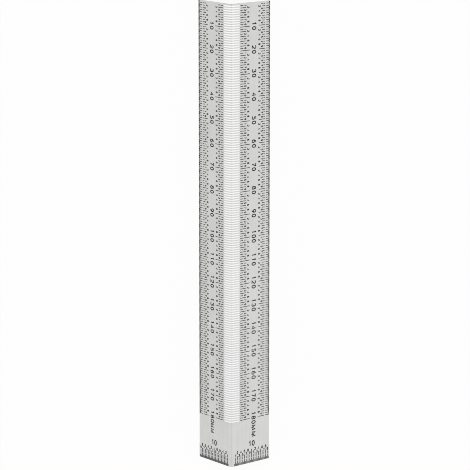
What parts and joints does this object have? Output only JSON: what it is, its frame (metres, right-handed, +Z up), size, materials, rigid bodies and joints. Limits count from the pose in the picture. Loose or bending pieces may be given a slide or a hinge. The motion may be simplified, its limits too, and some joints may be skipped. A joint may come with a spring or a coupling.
{
  "type": "marking ruler",
  "caption": "Stainless steel marking ruler folded to a right angle along its length, with pencil slots through the fold at each millimetre.",
  "frame": {"origin": "on the bench, under the middle of the footprint, with the ruler resting on the free edges of its two legs", "axes": "+Y along the ruler towards the zero end, +Z up towards the fold, +X across towards the leg on the picture's right"},
  "size_m": [0.0302, 0.2, 0.0146],
  "materials": {
    "stainless_steel": "satin, photo-etched sheet",
    "black_fill": "matt black fill of the etched graduations"
  },
  "bodies": {
    "root": {"bent_rule": "stainless_steel"}
  },
  "joints": []
}
